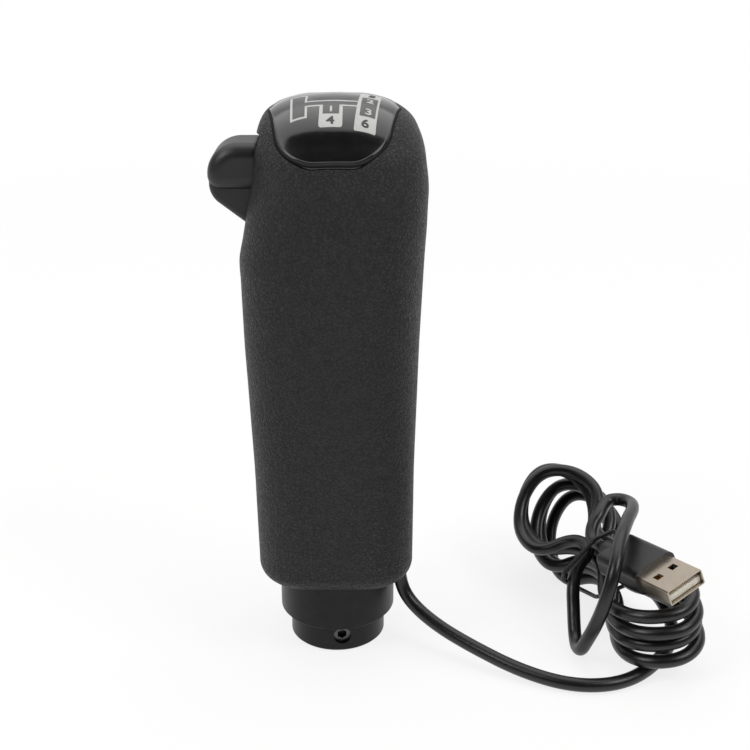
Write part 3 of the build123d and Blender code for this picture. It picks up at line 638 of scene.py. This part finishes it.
def smoothCap():
    shares = fitDome()
    form = bmesh.new()
    form.from_mesh(nodes["pattern_cap"].data)
    bmesh.ops.remove_doubles(form, verts=form.verts, dist=dome["weld"] * mm)
    for axis, middle in enumerate(dome["centre"]):
        cuts = range(-dome["cells"], dome["cells"] + 1)
        cutAcross(form, axis, [(middle + i * dome["cell"]) * mm for i in cuts])
    bmesh.ops.triangulate(form, faces=form.faces[:])
    for v in form.verts:
        x, y, z = v.co / mm
        away = math.hypot(x - dome["centre"][0], y - dome["centre"][1])
        if away > dome["outer"] or z < heightAt(x, y, (cadCapSurface,)) - dome["topDepth"]:
            continue
        # Share of the dome: 0 at the outer edge, 1 at the inner, level at both ends
        part = min(1, max(0, (dome["outer"] - away) / (dome["outer"] - dome["inner"])))
        part = part * part * (3 - 2 * part)
        smooth = sum(share * term for share, term in zip(shares, domeTerms(x, y)))
        v.co.z = (z + (smooth - z) * part) * mm
    bmesh.ops.recalc_face_normals(form, faces=form.faces)
    mesh = bpy.data.meshes.new("glossCap")
    mesh.from_pydata([v.co[:] for v in form.verts], [], [[v.index for v in f.verts] for f in form.faces])
    form.free()
    mesh.materials.append(materials["cap"])
    mesh.shade_smooth()
    mesh.set_sharp_from_angle(angle=math.radians(dome["sharpFrom"]))
    cap = addObject("glossCap", mesh)
    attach(cap, "body")
    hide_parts("pattern_cap")
    return surfaceOf(mesh)


capSurface = smoothCap()
print("the cap's crown is smooth")


# Shift pattern: thin printed fields on the cap. Corners are seen from above, in mm, and
# each field follows the cap's crown.
pattern = {
    "middle": 0.7,
    "bow": 0.010,  # how far a line sags towards the driver, per mm squared
    "cell": 0.5,
    "under": 0.05,  # how far a field reaches into the cap
    "line": 0.56,
    "digitHeight": 2.25,
    "digitStretch": 1.28,
    "digitBold": 0.02,
    "rightColumn": 5.0,
    "lean": -5.4,  # degrees, right column only
    # Heights above the cap: each layer lies just over the one below it
    "shade": 0.04,
    "frame": 0.09,
    "window": 0.14,
    "digit": 0.20,
}
leftField = ((-10.0, 1.9), (-9.5, -9.35), (-6.0, -9.35), (-6.1, -5.35), (-6.2, -3.0), (-6.2, 1.9))
channel = ((-6.2, -3.0), (-6.1, -5.35), (6.9, -5.35), (7.0, -3.0))
gateLine = (
    (7.0, -3.0), (-6.2, -3.0), (-6.2, 1.9), (-10.0, 1.9), (-9.5, -9.35), (-6.0, -9.35), (-6.1, -5.35),
    (-2.4, -5.35),
)
lowerLine = ((2.7, -5.35), (6.8, -5.35))
middleField = (
    (-2.7, -5.1), (-2.85, -11.9), (-2.75, -12.35), (-2.35, -12.6),
    (2.45, -12.6), (2.85, -12.35), (2.95, -11.9), (3.0, -5.1),
)
middleWindow = ((-1.9, -5.0), (-1.9, -8.7), (2.1, -8.7), (2.15, -5.0))
rightField = (
    (7.45, 4.6), (5.75, -12.75), (5.95, -13.05), (10.75, -13.05), (11.0, -12.75), (12.65, 4.6),
)
rightWindow = ((7.85, 0.3), (7.1, -8.85), (10.9, -8.85), (11.75, 0.3))
digits = {
    # digit: place, ink
    "1": ((0.1, -6.95), "silverInk"),
    "2": ((9.75, -2.0), "silverInk"),
    "3": ((9.3, -7.1), "silverInk"),
    "4": ((0.0, -10.75), "greyInk"),
    "5": ((10.2, 2.6), "greyInk"),
    "6": ((8.55, -11.0), "greyInk"),
}


# Two sides of a line of even width through the points
def strokeOutline(points, width):
    flat = [Vector(p) for p in points]
    left, right = [], []
    for i, point in enumerate(flat):
        runIn = (point - flat[max(i - 1, 0)]).normalized() if i else (flat[1] - flat[0]).normalized()
        runOut = (flat[i + 1] - point).normalized() if i + 1 < len(flat) else runIn
        aside = (runIn + runOut).orthogonal().normalized()
        reach = width / 2 / aside.dot(runIn.orthogonal().normalized())
        left.append(point + aside * reach)
        right.append(point - aside * reach)
    return [tuple(p) for p in left + right[::-1]]


def flatMesh(outline):
    form = bmesh.new()
    corners = [form.verts.new((x, y, 0)) for x, y in outline]
    form.faces.new(corners)
    return form


def digitMesh(digit, place):
    curve = bpy.data.curves.new("digit" + digit, "FONT")
    curve.body = digit
    curve.align_x = "CENTER"
    curve.offset = pattern["digitBold"]
    writing = bpy.data.objects.new("digit" + digit, curve)
    mesh = bpy.data.meshes.new_from_object(writing)
    form = bmesh.new()
    form.from_mesh(mesh)
    bpy.data.objects.remove(writing)
    bpy.data.curves.remove(curve)
    bpy.data.meshes.remove(mesh)
    weld = 0.0005
    bmesh.ops.remove_doubles(form, verts=form.verts, dist=weld)
    low = Vector([min(v.co[i] for v in form.verts) for i in range(2)])
    high = Vector([max(v.co[i] for v in form.verts) for i in range(2)])
    size = pattern["digitHeight"] / (high.y - low.y)
    middle = (low + high) / 2
    lean = pattern["lean"] if place[0] > pattern["rightColumn"] else 0
    turn = Matrix.Rotation(math.radians(lean), 2)
    for v in form.verts:
        x = (v.co.x - middle.x) * size * pattern["digitStretch"]
        y = (v.co.y - middle.y) * size
        v.co.x, v.co.y = turn @ Vector((x, y)) + Vector(place)
    return form


# Cuts the flat form into small cells, drops it on the cap and gives it its thickness
def layOnCap(form, name, height, ink):
    low = [min(v.co[i] for v in form.verts) for i in range(2)]
    high = [max(v.co[i] for v in form.verts) for i in range(2)]
    for axis in range(2):
        cells = int((high[axis] - low[axis]) / pattern["cell"])
        cutAcross(form, axis, [low[axis] + i * pattern["cell"] for i in range(1, cells + 1)])
    bmesh.ops.recalc_face_normals(form, faces=form.faces)
    if sum(f.normal.z * f.calc_area() for f in form.faces) < 0:
        bmesh.ops.reverse_faces(form, faces=form.faces)
    for v in form.verts:
        x, y = v.co.x, v.co.y - pattern["bow"] * (v.co.x - pattern["middle"]) ** 2
        spot, normal = letDown(capSurface, x, y)
        v.co = spot + Vector((0, 0, height * mm))
    sunk = bmesh.ops.extrude_face_region(form, geom=form.faces[:])
    for v in [g for g in sunk["geom"] if isinstance(g, bmesh.types.BMVert)]:
        v.co.z -= (height + pattern["under"]) * mm
    bmesh.ops.recalc_face_normals(form, faces=form.faces)
    mesh = bpy.data.meshes.new(name)
    form.to_mesh(mesh)
    form.free()
    mesh.materials.append(materials[ink])
    piece = addObject(name, mesh)
    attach(piece, "body")


def printPattern():
    fields = (
        # outline, name, layer, ink
        (leftField, "leftField", "shade", "darkInk"),
        (channel, "gateChannel", "shade", "darkInk"),
        (strokeOutline(gateLine, pattern["line"]), "gateLine", "frame", "silverInk"),
        (strokeOutline(lowerLine, pattern["line"]), "lowerLine", "frame", "silverInk"),
        (middleField, "middleField", "frame", "silverInk"),
        (rightField, "rightField", "frame", "silverInk"),
        (middleWindow, "middleWindow", "window", "darkInk"),
        (rightWindow, "rightWindow", "window", "darkInk"),
    )
    for outline, name, layer, ink in fields:
        layOnCap(flatMesh(outline), name, pattern[layer], ink)
    for digit, (place, ink) in digits.items():
        layOnCap(digitMesh(digit, place), "digit" + digit, pattern["digit"], ink)


printPattern()
print("the shift pattern is printed on the cap")


# Edge of the cap: a seal lies in the gap to the skin, coloured near black as painted shade of the gap,
# and a rounded lip ends the cap
capEdge = {
    # corner seen from above, rounding
    "corners": (
        ((-11.9, -19.6), 9.5), ((13.3, -19.6), 9.5), ((17.1, 1.0), 0),
        ((15.1, 9.5), 7.0), ((-13.7, 9.5), 7.0), ((-15.7, 1.0), 0),
    ),
    "arcSteps": 8,
    "step": 1.2,
    "inside": 0.06,
    # aside runs along the surface, outwards from the edge; sink goes straight into it
    "seal": {"aside": 0.45, "radius": 0.38, "sink": 0.36},
    "lip": {"aside": -0.28, "radius": 0.36, "sink": 0.25},
}


# Seen from above, counter-clockwise, in steps of about even length
def capOutline():
    corners = [(Vector(place), radius) for place, radius in capEdge["corners"]]
    outline = []
    for i, (corner, radius) in enumerate(corners):
        toLast = (corners[i - 1][0] - corner).normalized()
        toNext = (corners[(i + 1) % len(corners)][0] - corner).normalized()
        half = toLast.angle(toNext) / 2
        if radius == 0:
            outline.append(corner)
            continue
        centre = corner + (toLast + toNext).normalized() * radius / math.sin(half)
        reach = radius / math.tan(half)
        first = corner + toLast * reach - centre
        last = corner + toNext * reach - centre
        for k in range(capEdge["arcSteps"] + 1):
            outline.append(centre + first.slerp(last, k / capEdge["arcSteps"]) * radius)
    even = []
    for a, b in zip(outline, outline[1:] + outline[:1]):
        pieces = max(1, int((b - a).length / capEdge["step"]))
        even += [a.lerp(b, k / pieces) for k in range(pieces)]
    return even


def capEdgeTube(name, settings, material):
    outline = capOutline()
    points = []
    for before, point, after in zip(outline[-1:] + outline[:-1], outline, outline[1:] + outline[:1]):
        out = Vector((after.y - before.y, before.x - after.x)).normalized()
        spot, normal = letDown(capSurface, *(point - out * capEdge["inside"]))
        aside = Vector((*out, 0))
        aside = (aside - normal * aside.dot(normal)).normalized()
        points.append(spot / mm + aside * settings["aside"] - normal * settings["sink"])
    piece = roundCord(name, points, settings["radius"], material, closed=True)
    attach(piece, "body")
    return piece


# The seal's near-black colour is painted shade of the gap
capSealAndGapShade = capEdgeTube("capSealAndGapShade", capEdge["seal"], materials["seal"])
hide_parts("cap_gasket")
capLip = capEdgeTube("capLip", capEdge["lip"], materials["cap"])
print("the cap has its seal and lip")


# Studio: pale floor, a soft lamp on each side and a large one overhead, in metres and watts.
# The camera sees a white floor and world. Reflections see the bright floor and a world that
# brightens towards the back. All other light comes from the lamps and the world's fill.
studio = {
    "floorSize": 8.0,
    "floorColour": "#f4f4f3",
    "glowNear": 0.80,
    "glowFar": 1.0,
    "glowReach": (0.15, 0.75),
    "floorDrop": 0.0001,
    "worldFront": 0.02,
    "worldBack": 0.90,
    "worldReach": (-0.1, 0.95),
    "worldFill": 0.35,
    "lamps": {
        # name: place, aim, (width, depth), watts
        "leftSoftbox": ((-0.60, -0.35, 0.70), (0, 0, 0.12), (0.40, 0.40), 3.0),
        "rightSoftbox": ((0.60, -0.35, 0.75), (0, 0, 0.12), (0.40, 0.40), 3.0),
        "topSoftbox": ((0.0, 0.30, 1.00), (0.02, 0, 0.08), (2.0, 0.9), 8.0),
    },
}


def addFloor(settings):
    half = settings["floorSize"] / 2
    mesh = bpy.data.meshes.new("studioFloor")
    corners = [(-half, -half, 0), (half, -half, 0), (half, half, 0), (-half, half, 0)]
    mesh.from_pydata(corners, [], [(0, 1, 2, 3)])
    material = bpy.data.materials.new("paperFloor")
    material.use_nodes = True
    tree = material.node_tree
    tree.nodes.clear()
    paper = addNode(tree, "BsdfDiffuse", {"Color": hexColour(settings["floorColour"])})
    glow = addNode(tree, "Emission", {"Color": (1, 1, 1, 1), "Strength": 1.0})
    rays = addNode(tree, "LightPath")
    seen = addNode(
        tree, "Math", {"operation": "MAXIMUM"},
        {0: rays.outputs["Is Camera Ray"], 1: rays.outputs["Is Glossy Ray"]},
    )
    place = addNode(tree, "TexCoord").outputs["Object"]
    away = addNode(tree, "VectorMath", {"operation": "LENGTH"}, {0: place})
    near, far = settings["glowReach"]
    glowing = addNode(
        tree, "MapRange",
        {
            "From Min": near, "From Max": far,
            "To Min": settings["glowNear"], "To Max": settings["glowFar"],
        },
        {"Value": away.outputs["Value"]},
    )
    share = addNode(
        tree, "Math", {"operation": "MULTIPLY"}, {0: seen.outputs[0], 1: glowing.outputs["Result"]}
    )
    mix = addNode(
        tree, "MixShader", None, {0: share.outputs[0], 1: paper.outputs[0], 2: glow.outputs[0]}
    )
    addNode(tree, "OutputMaterial", None, {"Surface": mix.outputs[0]})
    mesh.materials.append(material)
    floor = addObject("studioFloor", mesh)
    floor.location.z = -settings["floorDrop"]


def addWorld(settings):
    world = bpy.data.worlds.new("studioWorld")
    world.use_nodes = True
    bpy.context.scene.world = world
    tree = world.node_tree
    tree.nodes.clear()
    rays = addNode(tree, "LightPath")
    direction = addNode(tree, "TexCoord").outputs["Generated"]
    axes = addNode(tree, "SeparateXYZ", None, {0: direction})
    front, back = settings["worldReach"]
    reflected = addNode(
        tree, "MapRange",
        {
            "From Min": front, "From Max": back,
            "To Min": settings["worldFront"], "To Max": settings["worldBack"],
        },
        {"Value": axes.outputs["Y"]},
    )
    room = addNode(tree, "Background", {"Color": (1, 1, 1, 1), "Strength": settings["worldFill"]})
    mirror = addNode(
        tree, "Background", {"Color": (1, 1, 1, 1)}, {"Strength": reflected.outputs["Result"]}
    )
    white = addNode(tree, "Background", {"Color": (1, 1, 1, 1), "Strength": 1.0})
    glossy = addNode(
        tree, "MixShader", None,
        {0: rays.outputs["Is Glossy Ray"], 1: room.outputs[0], 2: mirror.outputs[0]},
    )
    seen = addNode(
        tree, "MixShader", None,
        {0: rays.outputs["Is Camera Ray"], 1: glossy.outputs[0], 2: white.outputs[0]},
    )
    addNode(tree, "OutputWorld", None, {"Surface": seen.outputs[0]})


def addLamps(settings):
    for name, (place, aim, (width, depth), watts) in settings["lamps"].items():
        data = bpy.data.lights.new(name, "AREA")
        data.shape = "RECTANGLE"
        data.size = width
        data.size_y = depth
        data.energy = watts
        lamp = addObject(name, data)
        lamp.location = place
        lamp.rotation_euler = (Vector(aim) - Vector(place)).to_track_quat("-Z", "Y").to_euler()


addFloor(studio)
addWorld(studio)
addLamps(studio)
print("the studio is lit")
